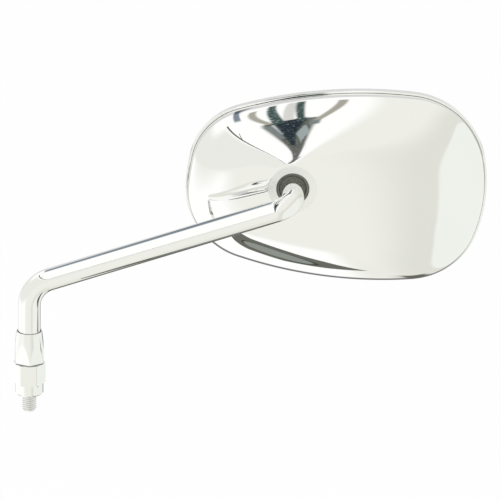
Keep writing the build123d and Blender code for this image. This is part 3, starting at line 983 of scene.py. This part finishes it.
def tent(shader):
    """Colour of the light tent by direction, as the chrome shows it."""
    way = shader.node("ShaderNodeTexCoord", output="Generated")
    x = shader.node("ShaderNodeSeparateXYZ", None, {0: way})
    y = x.out("Y")
    z = x.out("Z")
    around = x.maths("ARCTAN2", x, z) * math.degrees(1)
    below = x.maths("ARCTAN2", -x, -z) * math.degrees(1)
    along = y.maths("ARCCOSINE", -y) * math.degrees(1)
    elevation = z.maths("ARCSINE", z) * math.degrees(1)

    # Pale cloth with lit panels, a cool panel at the right and the fold round it
    side = oval(around, along, *COOL_PANEL)
    cloth = shader.blend(FOLD_CLOTH, PALE_CLOTH, shader.rise(side, 1.15, 1.6))
    cloth = shader.blend(COOL_CLOTH, cloth, shader.rise(side, 0.97, 1.02))
    for (low, high), soft, (near, far), end_soft, colour in CLOTH_PANELS:
        share = shader.window(around, low, high, soft) * shader.window(along, near, far, end_soft)
        cloth = shader.blend(cloth, colour, share)

    # Straight below: white cloth
    under = shader.window(below, *UNDER_BELOW, 2.0) * shader.rise(along, 54.0, 61.0)
    cloth = shader.blend(cloth, WHITE_CLOTH, under)

    # Gap in the roof with a strip lamp, its seams and the haze of a far window
    grains = {0: around / SPECK_SIZE[0], 1: along / SPECK_SIZE[1]}
    specks = shader.noise(shader.node("ShaderNodeCombineXYZ", None, grains), 1.0, 2.0)
    for place, slant, bend, (near, far), half_width, flare, colour, speckled in GAP_LINES:
        if speckled:
            colour = shader.blend(colour, GAP_GLINT, shader.rise(specks, 0.56, 0.74) * speckled)
        back = along - far
        off_line = abs(around - place - slant * back - bend * back * back) - flare * back
        soft = 0.3 + 0.1 * half_width
        line = 1 - shader.rise(off_line, half_width - soft, half_width + soft)
        cloth = shader.blend(cloth, colour, line * shader.window(along, near, far, 2.0))
    back = along - HAZE_MIDDLE[1]
    haze = abs(around - HAZE_MIDDLE[0] - HAZE_SLANT * back) / HAZE_HALF[0] + abs(back) / HAZE_HALF[1]
    cloth = shader.blend(GAP_HAZE, cloth, shader.rise(haze, 0.8, 1.05))
    curl = shader.window(along, *CURL_ALONG, 0.6) * shader.window(around, *CURL_AROUND, 5.0)
    cloth = shader.blend(cloth, LINE_BLACK, curl)

    # Far end: a ring that is dark at the right, then a pale wall and a grey floor with a dark gap at its edge
    ring = shader.blend(FAR_RING, DARK_ROOM, shader.rise(around, 70.0, 95.0))
    cloth = shader.blend(cloth, ring, shader.rise(along, 138.0, 144.0))
    back_wall = shader.blend(WALL_LOW, WALL_HIGH, shader.rise(elevation, -5.0, 15.0))
    cloth = shader.blend(cloth, back_wall, shader.rise(along, 152.0, 158.0))
    low = shader.rise(abs(around), 138.0, 158.0)
    cloth = shader.blend(cloth, FLOOR_GAP, shader.rise(along, 124.0, 132.0) * low)
    cloth = shader.blend(cloth, FAR_FLOOR, shader.rise(along, 150.0, 158.0) * low)

    # Blue beam across the far end of the roof, which the stem's upper side shows
    beam = shader.blend(BEAM_BLUE, BEAM_DARK, shader.rise(along, 134.0, 146.0))
    share = shader.window(around, *BEAM_AROUND, 1.5) * shader.window(along, *BEAM_ALONG, 5.0)
    cloth = shader.blend(cloth, beam, share)

    # Dark board low at the far end, which the stem's lower edge shows
    board = shader.window(below, *BOARD_BELOW, 2.0) * shader.window(along, *BOARD_ALONG, 3.0)
    return shader.blend(cloth, BOARD_DARK, board)


# Glowing dark sheet on the floor under the stem, no lamp, which only reflections show: a painted reflection in the
# dish and the stem's lower side. Corners in plan, its paler middle as an oval, and the oval's slope in plan
MAT_EDGE = [
    (44.0, -27.0),
    (73.0, -28.0),
    (105.0, -13.0),
    (133.0, 0.0),
    (165.0, 18.0),
    (196.0, 42.0),
    (165.0, 45.0),
    (133.0, 46.0),
    (105.0, 36.0),
    (73.0, 16.0),
    (52.0, -4.0),
    (44.0, -13.0),
]
MAT_OLIVE = (0.15, 0.155, 0.135, 1)
MAT_PALE_PATCH = (0.29, 0.31, 0.285, 1)
MAT_PATCH_LINE = (0.06, 0.07, 0.055, 1)
MAT_PATCH_CENTRE = (122.0, 19.0)
MAT_PATCH_RADII = (36.0, 13.0)
MAT_SLOPE = 0.42


def mat_finish():
    """Olive glow with a paler middle and a dark line round it, seen only as painted reflection."""
    material = bpy.data.materials.new("dark_mat")
    shader = Shader(material)
    where = shader.node("ShaderNodeTexCoord", output="Object")
    x = shader.node("ShaderNodeSeparateXYZ", None, {0: where})
    across = x / MM
    back = x.out("Y") / MM - MAT_SLOPE * (across - MAT_PATCH_CENTRE[0])
    patch = oval(across, back, MAT_PATCH_CENTRE, MAT_PATCH_RADII)
    colour = shader.blend(MAT_PALE_PATCH, MAT_OLIVE, shader.rise(patch, 0.93, 1.0))
    colour = shader.blend(colour, MAT_PATCH_LINE, shader.window(patch, 0.94, 1.06, 0.05))
    glow = shader.node("ShaderNodeEmission", None, {"Color": colour, "Strength": 1.0})
    shader.node("ShaderNodeOutputMaterial", None, {"Surface": glow})
    return material


def make_floor_mat():
    """Lays the mat, which only reflections show."""
    mesh = bpy.data.meshes.new("floor_mat")
    height = CAD_BOX[0].z
    mesh.from_pydata([(x * MM, y * MM, height) for x, y in MAT_EDGE], [], [tuple(range(len(MAT_EDGE)))])
    mesh.materials.append(mat_finish())
    mat = bpy.data.objects.new("floor_mat", mesh)
    bpy.context.scene.collection.objects.link(mat)
    mat.visible_camera = False
    mat.visible_diffuse = False
    mat.visible_shadow = False


def make_world():
    world = bpy.data.worlds.new("light_tent")
    bpy.context.scene.world = world
    shader = Shader(world)
    camera, glossy, through = ray_kinds(shader)
    soft = shader.node("ShaderNodeBackground", None, {"Color": grey(1.0), "Strength": SOFT_LIGHT})
    shown = shader.node("ShaderNodeBackground", None, {"Color": tent(shader), "Strength": 1.0})
    white = shader.node("ShaderNodeBackground", None, {"Color": grey(1.0), "Strength": 1.0})
    reflected = glossy.maths("MAXIMUM", glossy, through)
    surround = shader.node("ShaderNodeMixShader", None, {0: reflected, 1: soft, 2: shown})
    surround = shader.node("ShaderNodeMixShader", None, {0: camera, 1: surround, 2: white})
    shader.node("ShaderNodeOutputWorld", None, {"Surface": surround})


def make_key_lamp():
    light = bpy.data.lights.new("key_lamp", "AREA")
    light.energy = LAMP_WATTS
    light.size = LAMP_SIZE * MM
    lamp = bpy.data.objects.new("key_lamp", light)
    lamp.location = LAMP_PLACE * MM
    centre = (CAD_BOX[0] + CAD_BOX[1]) / 2
    lamp.rotation_euler = (centre - lamp.location).to_track_quat("-Z", "Y").to_euler()
    lamp.visible_glossy = False
    bpy.context.scene.collection.objects.link(lamp)


make_camera()
make_floor()
make_world()
make_floor_mat()
make_key_lamp()
bpy.context.scene.view_settings.view_transform = "Standard"
